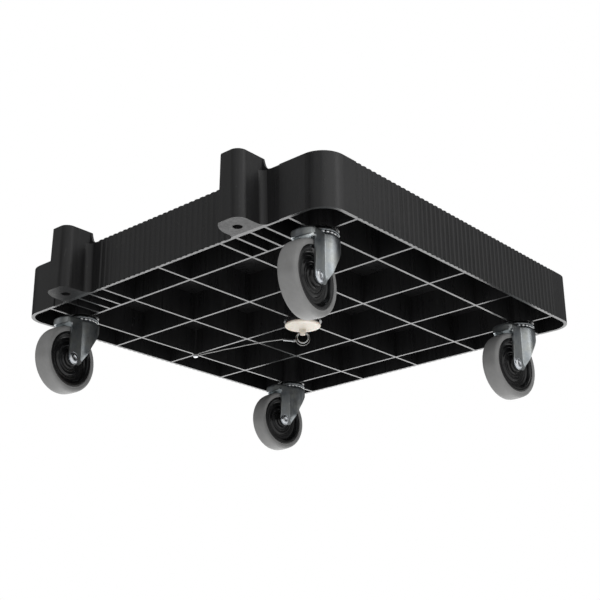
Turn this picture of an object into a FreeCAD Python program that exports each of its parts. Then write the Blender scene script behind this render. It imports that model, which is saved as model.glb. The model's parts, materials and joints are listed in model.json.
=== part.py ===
import FreeCAD, Part
import os, math
from FreeCAD import Vector

# Recessed-deck plastic dolly on four swivel casters, with two sockets for a
# push handle and a drain stopper on a lanyard under the middle of the deck.
# Units are millimetres. +Z is up, z = 0 is the floor. The handle-socket side
# faces -X, called rear; +X is front, +Y is left and -Y is right.

# ---------------------------------------------------------------- dimensions
# Square frame
FRAME_SIDE = 533.4          # outer side
RIM_Z = 110.0               # bottom edge of walls and ribs above the floor
WALL_TOP_Z = 177.8          # top of the rim around the load recess
CORNER_R = 30.0             # outer corner radius in plan
WALL_T = 4.5                # wall thickness at the flute crests
DECK_UNDER_Z = 147.3        # underside of the load deck
DECK_T = 4.0
GRID = 105.0                # rib pitch, both ways
RIB_T_LOW = 3.1             # rib thickness at its free edge
RIB_T_HIGH = 4.1            # rib thickness at the deck, with draft
ORIGIN_SHIFT_X = 19.4       # frame centre relative to the middle of the overall box

# Grip flutes on the outer walls
FLUTE_PITCH = 9.23
FLUTE_DEPTH = 1.2
FLUTE_LEAD = 1.0            # slope from the plain wall into the first and last flute
FLUTES_LONG = 46            # flutes on each full side
FLUTES_REAR = 25            # flutes between the two handle sockets
REAR_STEP_Y = 199.5         # where the rear wall steps in to the flute depth
REAR_STEP_RUN = 0.6         # length of that step along the wall

# Casters
CASTER_XY = 2 * GRID        # swivel axes lie on the outer rib crossings
CASTER_BOSS_R = 21.5
BOSS_SHELL_T = 3.0          # outer shell left around the cored ring
BOSS_CORE_R = 10.5          # core left around the stem bore
STEM_R = 5.55
STEM_L = 36.0
WHEEL_R = 44.45
TRAIL = 28.0                # swivel axis to wheel axle
AXLE_Z = WHEEL_R - RIM_Z    # axle height relative to the bottom rim
AXLE_R = 4.0
SLEEVE_R = 6.0
FORK_T = 2.3                # sheet thickness of the fork

# Handle sockets
SOCKET_X = -283.5           # bore axis, from the frame's centre
SOCKET_Y = 152.25
SOCKET_R = 22.0             # nominal half width of the socket boss
SOCKET_DRAFT = 1.9          # how far each flank draws in from foot to top
SOCKET_FLARE = 6.5          # flare of the boss along the wall
SOCKET_BORE_R = 16.2
SOCKET_TOP_Z = 195.0
SOCKET_FLOOR = 5.0
SOCKET_DRAIN_R = 5.75
SHORT_RIB_PITCH = 22.05     # three short ribs behind each socket

# Deck drain and lanyard anchor
DRAIN_TUBE_R = 25.7
DRAIN_TUBE_T = 2.9
DRAIN_HOLE_R = 19.0
DRAIN_DISH = 7.0            # how much wider the dished top of the hole is
ANCHOR_Y = 2 * GRID         # anchor post, on the middle rib
ANCHOR_R = 4.5
PILOT_R = 1.62

# x, y of the swivel axis; rest heading of the axle's headed end, degrees
CASTERS = {
    "rr": (-CASTER_XY, -CASTER_XY, -81.13),   # rear right
    "rl": (-CASTER_XY, CASTER_XY, -81.54),    # rear left
    "fl": (CASTER_XY, CASTER_XY, -94.34),     # front left
    "fr": (CASTER_XY, -CASTER_XY, -95.41),    # front right
}

# Derived
HALF = FRAME_SIDE / 2.0
VALLEY = HALF - FLUTE_DEPTH               # flute valleys, from the frame's centre
INNER = HALF - WALL_T                     # inner wall face
INNER_R = CORNER_R - WALL_T
DECK_TOP_Z = DECK_UNDER_Z + DECK_T
MERGE_Z = DECK_UNDER_Z + 0.5              # ribs and bosses run up into the deck

ORIGIN = Vector(0, 0, 0)
ALONG_X = Vector(1, 0, 0)
ALONG_Y = Vector(0, 1, 0)
UP = Vector(0, 0, 1)

os.makedirs("parts", exist_ok=True)


# ------------------------------------------------------------------- helpers
def box(x0, x1, y0, y1, z0, z1):
    return Part.makeBox(x1 - x0, y1 - y0, z1 - z0, Vector(x0, y0, z0))


def cyl(radius, z0, z1, x=0.0, y=0.0):
    return Part.makeCylinder(radius, z1 - z0, Vector(x, y, z0), UP)


def cyl_y(radius, y0, y1, x=0.0, z=0.0):
    return Part.makeCylinder(radius, y1 - y0, Vector(x, y0, z), ALONG_Y)


def polygon_face(points):
    return Part.Face(Part.makePolygon(points + [points[0]]))


def prism(points, extent):
    return polygon_face([Vector(*point) for point in points]).extrude(Vector(*extent))


def arc(start, middle, end):
    return Part.Arc(start, middle, end).toShape()


def rounded_square(half, radius, z0, z1):
    block = box(-half, half, -half, half, z0, z1)
    upright = [e for e in block.Edges if abs(e.Vertexes[0].Z - e.Vertexes[1].Z) > 1.0]
    return block.makeFillet(radius, upright)


def lathe(profile, at=ORIGIN):
    """Turn (radius, z) points about the vertical through at."""
    solid = polygon_face([Vector(r, 0, z) for r, z in profile]).revolve(ORIGIN, UP, 360)
    solid.translate(at)
    return solid


def axle_lathe(profile):
    """Turn (radius, y) points about the wheel axle."""
    solid = polygon_face([Vector(r, y, 0) for r, y in profile]).revolve(ORIGIN, ALONG_Y, 360)
    solid.translate(Vector(TRAIL, 0, AXLE_Z))
    return solid


def mirrored(profile):
    """The (radius, y) points on the -Y side, in reverse order."""
    return [(r, -y) for r, y in reversed(profile)]


def turn_and_move(shape, angle, to):
    """Turn a shape about the Z axis, then move it, in place."""
    shape.rotate(ORIGIN, UP, angle)
    shape.translate(to)
    return shape


def try_fillet(shape, radius, edges):
    """Fillet the edges; guards against a fillet failure by leaving them sharp."""
    try:
        return shape.makeFillet(radius, edges)
    except Exception:
        return shape


def unwrap(shape):
    """The bare solid, if the shape holds just one."""
    return shape.Solids[0] if len(shape.Solids) == 1 else shape


def save(name, shape):
    placed = shape.copy()
    placed.translate(Vector(ORIGIN_SHIFT_X, 0, 0))
    if not placed.isValid():
        placed.fix(1e-4, 1e-4, 1e-4)
    placed.exportStep("parts/%s.step" % name)


# ---------------------------------------------------------------- outer wall
# One flute: fraction of the pitch, depth below the crest
FLUTE_SHAPE = ((0.0, FLUTE_DEPTH), (0.24, FLUTE_DEPTH), (0.40, 0.0), (0.84, 0.0))


def fluted_run(count):
    """(along, depth) points of a fluted run centred on zero, low to high."""
    start = -count * FLUTE_PITCH / 2.0
    points = []
    for i in range(count):
        for fraction, depth in FLUTE_SHAPE:
            points.append((start + (i + fraction) * FLUTE_PITCH, depth))
    points.append((start + count * FLUTE_PITCH, FLUTE_DEPTH))
    return points


def wall_outline():
    """Edges of the outer wall in plan, anticlockwise from the front wall."""
    straight = HALF - CORNER_R
    flutes = fluted_run(FLUTES_LONG)
    lead = flutes[-1][0] + FLUTE_LEAD
    full_side = ([(-straight, 0), (-lead, 0)] + flutes + [(lead, 0), (straight, 0)])
    # the rear wall is plain and set back between its flutes and the steps
    step_foot = REAR_STEP_Y - REAR_STEP_RUN
    rear_side = ([(-straight, 0), (-REAR_STEP_Y, 0), (-step_foot, FLUTE_DEPTH)]
                 + fluted_run(FLUTES_REAR)
                 + [(step_foot, FLUTE_DEPTH), (REAR_STEP_Y, 0), (straight, 0)])
    corner_mid = straight + CORNER_R * math.cos(math.radians(45))

    edges = []
    # outward normal of each wall: front, left, rear, right
    for nx, ny, side in ((1, 0, full_side), (0, 1, full_side),
                         (-1, 0, rear_side), (0, -1, full_side)):
        def place(out, along):
            return Vector(nx * out - ny * along, ny * out + nx * along, 0)

        points = [place(HALF - depth, along) for along, depth in side]
        for start, end in zip(points[:-1], points[1:]):
            edges.append(Part.makeLine(start, end))
        edges.append(arc(place(HALF, straight), place(corner_mid, corner_mid),
                         place(straight, HALF)))
    return edges


def wall_and_deck():
    face = Part.Face(Part.Wire(Part.__sortEdges__(wall_outline())))
    face.translate(Vector(0, 0, RIM_Z))
    body = face.extrude(Vector(0, 0, WALL_TOP_Z - RIM_Z))
    body = body.cut(rounded_square(INNER, INNER_R, DECK_TOP_Z, WALL_TOP_Z + 5))
    return body.cut(rounded_square(INNER, INNER_R, RIM_Z - 5, DECK_UNDER_Z))


# ------------------------------------------------------------ handle sockets
# Boss plan at its foot, as distances from the bore axis. "Out" is toward -X.
BOSS_LEFT = 22.3            # flank on the +Y side
BOSS_RIGHT = 22.6           # flank on the -Y side
BOSS_NOSE = 21.9            # flat outer face
BOSS_CORNER_R = 12.8        # round corner on the -Y side
BOSS_BACK = INNER + SOCKET_X          # inner wall face, as an out distance
FLARE_BACK = VALLEY + SOCKET_X        # flute valleys, as an out distance
FLARE_SINK = 0.03           # flare starts this far inside the flank
COS_45 = 0.7071

# Web beside the boss: (distance along the wall, z)
GUSSET_PROFILE = [
    (0, SOCKET_TOP_Z - 1.0), (1.0, SOCKET_TOP_Z - 1.2), (1.7, SOCKET_TOP_Z - 4.0),
    (2.9, SOCKET_TOP_Z - 8.0), (4.6, SOCKET_TOP_Z - 11.8), (7.2, SOCKET_TOP_Z - 14.8),
    (10.6, SOCKET_TOP_Z - 16.6), (14.4, WALL_TOP_Z), (14.4, WALL_TOP_Z - 3),
    (0, WALL_TOP_Z - 3)]


def boss_section(z, centre_y, draw_in):
    """Boss outline at height z: flat outer face, round -Y corner, and a +Y corner
    drawn back in a wide sweep. Both flanks move in by draw_in, other points by less."""
    left = BOSS_LEFT - draw_in
    right = BOSS_RIGHT - draw_in
    nose = BOSS_NOSE - 0.3 * draw_in
    corner_r = BOSS_CORNER_R - 0.5 * draw_in
    corner_inset = corner_r * (1 - COS_45)

    def place(out, across):
        return Vector(SOCKET_X - out, centre_y + across, z)

    back_left = place(BOSS_BACK, left)
    back_right = place(BOSS_BACK, -right)
    sweep_start = place(-2.0, left)
    sweep_mid = place(14.4 - 0.1 * draw_in, 15.9 - 0.95 * draw_in)
    sweep_end = place(nose, 7.9 - 0.9 * draw_in)
    corner_start = place(nose, -(right - corner_r))
    corner_mid = place(nose - corner_inset, -(right - corner_inset))
    corner_end = place(nose - corner_r, -right)
    return Part.Wire([
        Part.makeLine(back_left, sweep_start),
        arc(sweep_start, sweep_mid, sweep_end),
        Part.makeLine(sweep_end, corner_start),
        arc(corner_start, corner_mid, corner_end),
        Part.makeLine(corner_end, back_right),
        Part.makeLine(back_right, back_left)])


def flare_section(z, centre_y, draw_in, side):
    """Outline of the concave flare between one flank (side +1 is +Y) and the wall."""
    flank = (BOSS_LEFT if side > 0 else BOSS_RIGHT) - draw_in - FLARE_SINK
    flare_out = FLARE_BACK + SOCKET_FLARE + 1.0
    buried = flank - 3.0      # inner edge, inside the boss

    def place(out, across):
        return Vector(SOCKET_X - out, centre_y + side * across, z)

    wall_end = place(FLARE_BACK, flank + SOCKET_FLARE)
    curve_mid = place(FLARE_BACK + 0.36 * SOCKET_FLARE, flank + 0.40 * SOCKET_FLARE)
    flank_end = place(flare_out, flank)
    inner_out = place(flare_out, buried)
    inner_back = place(BOSS_BACK, buried)
    outer_back = place(BOSS_BACK, flank + SOCKET_FLARE)
    return Part.Wire([
        arc(wall_end, curve_mid, flank_end),
        Part.makeLine(flank_end, inner_out),
        Part.makeLine(inner_out, inner_back),
        Part.makeLine(inner_back, outer_back),
        Part.makeLine(outer_back, wall_end)])


def socket_boss(centre_y):
    """Tapered boss with a flare on both flanks, up to the wall's top."""
    flare_draw_in = SOCKET_DRAFT * (WALL_TOP_Z - RIM_Z) / (SOCKET_TOP_Z - RIM_Z)
    boss = Part.makeLoft([boss_section(RIM_Z, centre_y, 0.0),
                          boss_section(SOCKET_TOP_Z, centre_y, SOCKET_DRAFT)], True, True)
    for side in (-1, 1):
        flare = Part.makeLoft([flare_section(RIM_Z, centre_y, 0.0, side),
                               flare_section(WALL_TOP_Z, centre_y, flare_draw_in, side)],
                              True, True)
        boss = boss.fuse(flare)
    return boss


def socket_gusset(centre_y, side):
    """Concave web in the wall's thickness, from the socket flank to the wall top."""
    start_y = centre_y + side * (SOCKET_R - 2.0)
    points = [(-VALLEY, start_y + side * along, z) for along, z in GUSSET_PROFILE]
    return prism(points, (VALLEY - INNER, 0, 0))


def socket_cuts(y):
    """Bore with a chamfered mouth, and a drain hole through its floor."""
    floor_z = RIM_Z + SOCKET_FLOOR
    return [cyl(SOCKET_BORE_R, floor_z, SOCKET_TOP_Z + 1, SOCKET_X, y),
            Part.makeCone(SOCKET_BORE_R, SOCKET_BORE_R + 1.6, 1.6,
                          Vector(SOCKET_X, y, SOCKET_TOP_Z - 1.5), UP),
            cyl(SOCKET_DRAIN_R, RIM_Z - 1, floor_z + 1, SOCKET_X, y)]


# ---------------------------------------------------------------- deck frame
def rib(direction, position, start, end):
    """One drafted rib running along "x" or "y"."""
    low, high = RIB_T_LOW / 2.0, RIB_T_HIGH / 2.0
    section = [(position - low, RIM_Z), (position + low, RIM_Z),
               (position + high, MERGE_Z), (position - high, MERGE_Z)]
    if direction == "x":
        return prism([(start, y, z) for y, z in section], (end - start, 0, 0))
    return prism([(x, start, z) for x, z in section], (0, end - start, 0))


def caster_boss_cuts(x, y):
    """Stem bore, and the cored ring around it with cross webs left standing."""
    bore = cyl(STEM_R + 0.06, RIM_Z - 1, RIM_Z + STEM_L + 0.5, x, y)
    ring = cyl(CASTER_BOSS_R - BOSS_SHELL_T, RIM_Z - 1, DECK_UNDER_Z - 3.0, x, y).cut(
        cyl(BOSS_CORE_R, RIM_Z - 2, DECK_UNDER_Z, x, y))
    web_half = RIB_T_LOW / 2.0
    for angle in (0, 90):
        web = box(-30, 30, -web_half, web_half, RIM_Z - 3, DECK_UNDER_Z + 1)
        ring = ring.cut(turn_and_move(web, angle, Vector(x, y, 0)))
    return [bore, ring]


def drain_cuts():
    """Open tube, and a dished hole through the deck."""
    return [cyl(DRAIN_TUBE_R - DRAIN_TUBE_T, RIM_Z - 1, DECK_UNDER_Z - 2.0),
            cyl(DRAIN_HOLE_R, DECK_UNDER_Z - 3, DECK_TOP_Z + 1),
            Part.makeCone(DRAIN_HOLE_R, DRAIN_HOLE_R + DRAIN_DISH, 2.0,
                          Vector(0, 0, DECK_TOP_Z - 1.9), UP)]


def deck_frame():
    adds = []
    rib_end = INNER + 0.4     # ribs run a little into the walls
    for i in range(-2, 3):
        adds.append(rib("x", i * GRID, -rib_end, rib_end))
        adds.append(rib("y", i * GRID, -rib_end, rib_end))
    # short ribs from the rear wall at the sockets to the first cross rib
    for side in (-1, 1):
        for i in (-1, 0, 1):
            rib_y = side * (SOCKET_Y + i * SHORT_RIB_PITCH)
            adds.append(rib("x", rib_y, -rib_end, -2 * GRID))
    for x, y, _ in CASTERS.values():
        adds.append(cyl(CASTER_BOSS_R, RIM_Z, MERGE_Z, x, y))
    adds.append(cyl(DRAIN_TUBE_R, RIM_Z, MERGE_Z))
    adds.append(cyl(ANCHOR_R, RIM_Z, MERGE_Z, 0, ANCHOR_Y))
    for centre_y in (-SOCKET_Y, SOCKET_Y):
        adds.append(socket_boss(centre_y))
        for side in (-1, 1):
            adds.append(socket_gusset(centre_y, side))
    body = wall_and_deck().multiFuse(adds)

    cuts = []
    for x, y, _ in CASTERS.values():
        cuts += caster_boss_cuts(x, y)
    cuts += drain_cuts()
    # pilot hole for the lanyard screw
    cuts.append(cyl(PILOT_R, RIM_Z - 1, RIM_Z + 14.5, 0, ANCHOR_Y))
    for centre_y in (-SOCKET_Y, SOCKET_Y):
        cuts += socket_cuts(centre_y)
    for tool in cuts:
        body = body.cut(tool)
    return unwrap(body.removeSplitter())


# --------------------------------------------------------------- caster fork
# Local caster frame: origin on the swivel axis at the bottom rim, +X trailing,
# +Y toward the headed end of the axle, +Z up.
FORK_TOP = -8.8
FORK_PLATE = 2.5            # thickness of the fork's top
CROWN_R = 22.6              # round crown about the swivel axis
LEG_Y = 15.7                # outer face of the two flat legs
TAIL_R = 30.0               # shallow arc across the trailing end
TAIL_END = 43.0             # how far the end reaches behind the swivel axis
TAIL_CORNER_R = 6.5         # round corners between the legs and the end
KINGPIN_HOLE_R = 4.7
SEAT_R = 7.7                # shallow round seats on the legs' outer faces
SEAT_Y = 15.4
HEAD_Y = 15.44              # where the axle's head and nut bear

# Side outline of the fork, (x, z): trailing edge downward, lug arc, leading edge upward
FORK_TRAILING = [
    (-26, -6), (46, -6), (46, -19.6), (43.5, -19.6), (40.5, -18.2), (37.6, -17.0),
    (35.6, -17.2), (34.3, -18.6), (33.9, -20.6), (34.3, -26.0), (36.2, -56.0)]
LUG_CENTRE = (28.2, -65.4)
LUG_RADII = (8.6, 7.7)      # along x, along z
FORK_LEADING = [
    (21.0, -73.1), (18.6, -72.9), (16.9, -72.2), (15.2, -70.9), (13.4, -67.6),
    (11.4, -63.2), (7.8, -55.6), (4.8, -49.2), (1.0, -42.0), (-5.6, -32.5),
    (-11.6, -24.3), (-14.6, -21.6), (-17.6, -19.9), (-20.6, -18.8), (-26, -17.6)]


def fork_cup(inset, top_z, bottom_z):
    """Round crown running into a flat-sided tail with a bowed, round-cornered end."""
    crown = cyl(CROWN_R - inset, bottom_z, top_z)
    leg_y = LEG_Y - inset
    end_r = TAIL_R - inset
    corner_r = TAIL_CORNER_R - inset
    end_x = TAIL_END - TAIL_R                 # centre of the end arc
    corner_y = LEG_Y - TAIL_CORNER_R          # centre of the corner arc
    corner_x = end_x + math.sqrt((TAIL_R - TAIL_CORNER_R) ** 2 - corner_y ** 2)
    meet_angle = math.atan2(corner_y, corner_x - end_x)
    mid_angle = (math.pi / 2 + meet_angle) / 2

    meet_x = end_x + end_r * math.cos(meet_angle)
    meet_y = end_r * math.sin(meet_angle)
    mid_x = corner_x + corner_r * math.cos(mid_angle)
    mid_y = corner_y + corner_r * math.sin(mid_angle)

    def place(x, y):
        return Vector(x, y, bottom_z)

    wire = Part.Wire([
        Part.makeLine(place(0, leg_y), place(corner_x, leg_y)),
        arc(place(corner_x, leg_y), place(mid_x, mid_y), place(meet_x, meet_y)),
        arc(place(meet_x, meet_y), place(end_x + end_r, 0), place(meet_x, -meet_y)),
        arc(place(meet_x, -meet_y), place(mid_x, -mid_y), place(corner_x, -leg_y)),
        Part.makeLine(place(corner_x, -leg_y), place(0, -leg_y)),
        Part.makeLine(place(0, -leg_y), place(0, leg_y))])
    tail = Part.Face(wire).extrude(Vector(0, 0, top_z - bottom_z))
    return crown.fuse(tail).removeSplitter()


def fork_side_mask():
    """Side outline that trims the cup into fender, legs and lugs."""
    lug = []
    for degrees in range(0, -91, -9):
        angle = math.radians(degrees)
        lug.append((LUG_CENTRE[0] + LUG_RADII[0] * math.cos(angle),
                    LUG_CENTRE[1] + LUG_RADII[1] * math.sin(angle)))
    outline = FORK_TRAILING + lug + FORK_LEADING
    return prism([(x, -40, z) for x, z in outline], (0, 80, 0))


def fork():
    outer = fork_cup(0.0, FORK_TOP, -80.0)
    # upright edges where the crown meets the legs
    kink_x = math.sqrt(CROWN_R ** 2 - LEG_Y ** 2)
    kinks = [e for e in outer.Edges
             if abs(e.Vertexes[0].Z - e.Vertexes[-1].Z) > 30
             and abs(e.BoundBox.XMax - kink_x) < 0.5]
    outer = try_fillet(outer, 3.0, kinks)
    top_edges = [e for e in outer.Edges
                 if abs(e.BoundBox.ZMin - FORK_TOP) < 0.01
                 and abs(e.BoundBox.ZMax - FORK_TOP) < 0.01]
    outer = try_fillet(outer, 2.6, top_edges)
    body = outer.cut(fork_cup(FORK_T, FORK_TOP - FORK_PLATE, -82.0))
    body = body.common(fork_side_mask())
    body = body.cut(cyl_y(AXLE_R + 0.06, -30, 30, TRAIL, AXLE_Z))
    body = body.cut(cyl(KINGPIN_HOLE_R, -20, 0))
    for y0, y1 in ((-30, -SEAT_Y), (SEAT_Y, 30)):
        body = body.cut(cyl_y(SEAT_R, y0, y1, TRAIL, AXLE_Z))
    return unwrap(body)


# ---------------------------------------------------- caster swivel and wheel
KINGPIN_R = 4.0
RACE_BORE_R = KINGPIN_R + 0.03

# Turned about the swivel axis: (radius, z).
# The stem includes the kingpin, its riveted foot, the flange and a grip groove.
STEM_PROFILE = [
    (0, -19.8), (3.4, -19.8), (5.2, -19.2), (6.4, -17.9), (6.5, -17.12),
    (KINGPIN_R, -17.12), (KINGPIN_R, -2.85), (13.0, -2.85), (13.4, -2.5), (13.4, -0.35),
    (13.0, 0.0), (STEM_R, 0.0), (STEM_R, 23.0), (4.7, 23.6), (4.7, 26.4), (STEM_R, 27.0),
    (STEM_R, STEM_L - 2.2), (4.4, STEM_L - 0.5), (3.2, STEM_L), (0, STEM_L)]
UPPER_RACE_PROFILE = [
    (RACE_BORE_R, -2.86), (20.9, -2.86), (21.4, -3.2), (21.55, -3.8), (21.55, -5.0),
    (21.35, -5.4), (20.95, -5.4), (20.7, -5.1), (20.65, -4.6), (20.3, -4.15),
    (19.8, -4.0), (RACE_BORE_R, -4.0)]
LOWER_RACE_PROFILE = [
    (RACE_BORE_R, -15.34), (11.0, -15.34), (12.2, -14.4), (12.9, -14.7), (12.6, -15.9),
    (11.4, -17.1), (RACE_BORE_R, -17.1)]

# Turned about the axle: (radius, y).
# The axle has a shank and a domed head with a shallow centre dimple.
AXLE_PROFILE = [
    (0, -22.6), (3.3, -22.6), (AXLE_R, -21.9), (AXLE_R, HEAD_Y), (6.95, HEAD_Y),
    (7.05, 16.1), (6.65, 16.95), (5.6, 17.65), (4.1, 18.0), (2.8, 17.9), (2.3, 17.2),
    (0, 17.0)]
NUT_ENVELOPE = [(0, -23.0), (5.0, -23.0), (6.1, -21.6), (8.6, -20.2), (8.6, -10.0), (0, -10.0)]
NUT_COLLAR = [(0, -22.3), (5.2, -22.3), (5.9, -21.5), (5.9, -20.9), (0, -20.9)]
NUT_ACROSS_FLATS = 13.0
NUT_HEX_L = 5.48
# +Y halves, mirrored to -Y
SLEEVE_HALF = [(SLEEVE_R, 12.9), (SLEEVE_R - 0.4, 13.3), (AXLE_R + 0.06, 13.3)]
HUB_HALF = [
    (SLEEVE_R + 0.08, 12.7), (9.3, 12.7), (10.0, 12.3), (10.5, 11.4), (11.3, 8.3),
    (12.4, 7.4), (15.0, 7.0), (17.4, 7.0), (18.2, 7.9), (20.4, 8.1), (21.3, 7.4),
    (22.4, 6.2), (26.0, 6.0), (28.6, 6.2), (29.8, 7.1), (31.3, 9.8), (32.3, 11.1),
    (33.4, 11.6), (35.3, 11.6), (36.2, 11.2), (36.6, 10.4), (36.6, 7.6), (34.4, 5.0)]
TYRE_HALF = [
    (34.42, 5.0), (36.62, 7.6), (36.62, 10.7), (37.1, 11.5), (37.9, 12.0), (40.2, 12.0),
    (41.6, 11.7), (42.8, 11.0), (43.7, 9.9), (44.15, 8.3), (44.35, 5.0)]


def balls(radius, ring_r, z, count):
    """A ring of balls about the swivel axis."""
    spheres = []
    for i in range(count):
        angle = 2 * math.pi * (i + 0.35) / count
        centre = Vector(ring_r * math.cos(angle), ring_r * math.sin(angle), z)
        spheres.append(Part.makeSphere(radius, centre))
    return Part.makeCompound(spheres)


def axle_nut():
    """Hexagon with a coned outer end and a collar, on the -Y end of the axle."""
    corner_r = NUT_ACROSS_FLATS / math.sqrt(3)
    corners = []
    for i in range(6):
        angle = math.radians(60 * i + 30)
        corners.append((TRAIL + corner_r * math.cos(angle), -HEAD_Y,
                        AXLE_Z + corner_r * math.sin(angle)))
    hexagon = prism(corners, (0, -NUT_HEX_L, 0))
    nut = hexagon.common(axle_lathe(NUT_ENVELOPE)).fuse(axle_lathe(NUT_COLLAR))
    nut = nut.cut(cyl_y(AXLE_R + 0.02, -30, 0, TRAIL, AXLE_Z))
    return nut.removeSplitter()


def caster_pieces():
    return {
        "stem": lathe(STEM_PROFILE),
        "upper_race": lathe(UPPER_RACE_PROFILE),
        "race_balls": balls(radius=2.38, ring_r=18.2, z=-6.4, count=21),
        "fork": fork(),
        "kingpin_balls": balls(radius=1.98, ring_r=8.6, z=-13.32, count=12),
        "lower_race": lathe(LOWER_RACE_PROFILE),
        "axle": axle_lathe(AXLE_PROFILE),
        "axle_nut": axle_nut(),
        "axle_sleeve": axle_lathe(mirrored(SLEEVE_HALF) + SLEEVE_HALF),
        "hub": axle_lathe(HUB_HALF + mirrored(HUB_HALF)),
        "tyre": axle_lathe(TYRE_HALF + [(WHEEL_R, 0.0)] + mirrored(TYRE_HALF)),
    }


# --------------------------------------------------------- stopper and lanyard
CAP_Z = RIM_Z - 7.0                # underside of the cap's disc
CAP_R = 24.6
SPIGOT_R = 7.0
SEAL_Z = RIM_Z - 3.6
SEAL_BORE_R = SPIGOT_R + 0.03

EYE = Vector(11.6, 10.4, RIM_Z - 9.9)         # centre of the eye under the cap
EYE_R = 3.9                        # round bottom of the eye's block
EYE_END_R = 5.6                    # rounding of the block's two ends
EYE_END_Z = 1.7                    # centre of that rounding above the eye
EYE_TOP = 3.4                      # top of the block above the eye
EYE_HALF = 3.9                     # half length of the tunnel along RING_DIR
EYE_HOLE_R = 1.95

RING_DIR = Vector(0.6585, -0.7526, 0)         # the rings hang in the plane of Z and this
SIDE_DIR = Vector(-RING_DIR.y, RING_DIR.x, 0)    # square to the rings' planes
RING_ANGLE = math.degrees(math.atan2(RING_DIR.y, RING_DIR.x))
RING_GAP = 0.95                    # each ring's plane from the middle of the eye
RING_R, RING_WIRE = 9.6, 0.8       # ring that holds the lanyard
RING_Z = EYE.z + 0.414 - RING_R
LINK_R, LINK_WIRE = 7.5, 0.75      # smaller ring beside it
LINK_Z = EYE.z + 0.547 - LINK_R

FERRULE_R = 1.55
FERRULE_END = Vector(3.9, 38.5, RIM_Z - 15.6)
CORD_R = 0.7
CORD_LOOP_R = 2.9                  # last turns round the screw's neck
CORD_LOOP_Z = RIM_Z - 1.02
SCREW_NECK_R = 1.6

# (radius, height above CAP_Z)
CAP_PROFILE = [(0, 0), (22.6, 0), (23.9, 0.35), (24.5, 1.2), (CAP_R, 2.0), (24.3, 2.9),
               (23.4, 3.4), (0, 3.4)]
# (radius, height above SEAL_Z), with two sealing lips
SEAL_PROFILE = [
    (SEAL_BORE_R, 0), (20.0, 0), (20.6, 0.6), (20.6, 6), (22.3, 8), (22.3, 10), (20.4, 12),
    (20.2, 17), (21.9, 19), (21.9, 21), (20.0, 23), (19.0, 25.6), (SEAL_BORE_R, 25.6)]
# (radius, height above RIM_Z)
SCREW_PROFILE = [
    (0, -4.4), (2.0, -4.3), (3.2, -3.8), (3.8, -2.9), (3.8, -1.85), (SCREW_NECK_R, -1.85),
    (SCREW_NECK_R, 11.5), (0, 13.8)]
# Cord from ferrule to screw: (x, y, depth below RIM_Z)
CORD_STATIONS = [(3.85, 41.6, 14.7), (3.3, 64.0, 11.7), (2.6, 101.0, 8.4),
                 (2.1, 140.0, 5.6), (2.2, 178.0, 2.9), (2.6, 200.0, 1.4)]


def stopper_eye():
    """Round-bottomed block with a tunnel along RING_DIR for the two rings."""
    block = cyl_y(EYE_R, -EYE_HALF, EYE_HALF).fuse(
        box(-EYE_R, EYE_R, -EYE_HALF, EYE_HALF, 0, EYE_TOP))
    round_ends = Part.makeCylinder(EYE_END_R, 10, Vector(-5, 0, EYE_END_Z), ALONG_X).fuse(
        box(-5, 5, -EYE_END_R, EYE_END_R, EYE_END_Z, EYE_TOP))
    block = block.common(round_ends)
    block = block.common(box(-5, 5, -EYE_HALF, EYE_HALF, -3.85, EYE_TOP))
    block = block.cut(cyl_y(EYE_HOLE_R, -2 * EYE_HALF, 2 * EYE_HALF))
    return turn_and_move(block, RING_ANGLE - 90, EYE)


def stopper_cap():
    """Rounded disc with a spigot above and an eye underneath."""
    cap = lathe(CAP_PROFILE, Vector(0, 0, CAP_Z))
    cap = cap.fuse(cyl(SPIGOT_R, CAP_Z + 3.0, CAP_Z + 26.0))
    return cap.fuse(stopper_eye()).removeSplitter()


def hung_ring(radius, wire_r, side_offset, z):
    """Ring through the eye, its plane side_offset along SIDE_DIR from the middle."""
    torus = Part.makeTorus(radius, wire_r, ORIGIN, ALONG_Y)
    centre = EYE + SIDE_DIR * side_offset
    return turn_and_move(torus, RING_ANGLE, Vector(centre.x, centre.y, z))


def ferrule():
    """Crimp sleeve with a bead near each end, hung on the lanyard ring."""
    ring_side = EYE - SIDE_DIR * RING_GAP - RING_DIR * (RING_R - 0.4)
    start = Vector(ring_side.x - 0.4, ring_side.y + 1.55, RING_Z - 3.1 + 0.35)
    run = FERRULE_END - start
    sleeve = Part.makeCylinder(FERRULE_R, run.Length, start, run)
    beads = Part.makeSphere(1.9, start + run * 0.06).fuse(
        Part.makeSphere(1.85, start + run * 0.93))
    sleeve = sleeve.fuse(beads)
    # clearance for the ring; any sliver it cuts off is dropped
    sleeve = sleeve.cut(hung_ring(RING_R, RING_WIRE + 0.12, -RING_GAP, RING_Z))
    return max(sleeve.Solids, key=lambda solid: solid.Volume)


def cord():
    """Nearly straight run that ends wrapped round the screw's neck."""
    points = [Vector(x, y, RIM_Z - depth) for x, y, depth in CORD_STATIONS]
    for degrees in range(0, 271, 30):
        angle = math.radians(degrees)
        points.append(Vector(CORD_LOOP_R * math.cos(angle),
                             ANCHOR_Y + CORD_LOOP_R * math.sin(angle), CORD_LOOP_Z))
    curve = Part.BSplineCurve()
    curve.interpolate(points)
    start_direction = curve.tangent(curve.FirstParameter)[0]
    section = Part.Wire(Part.makeCircle(CORD_R, points[0], start_direction))
    return Part.Wire(curve.toShape()).makePipeShell([section], True, True)


def anchor_screw():
    """Screw pointing up into the anchor post, with a cross recess in its head."""
    screw = lathe(SCREW_PROFILE, Vector(0, ANCHOR_Y, RIM_Z))
    for angle in (0, 90):
        slot = box(-2.0, 2.0, -0.45, 0.45, RIM_Z - 6, RIM_Z - 3.0)
        screw = screw.cut(turn_and_move(slot, angle, Vector(0, ANCHOR_Y, 0)))
    return screw


# ------------------------------------------------------------------ write out
save("deck_frame", deck_frame())

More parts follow.
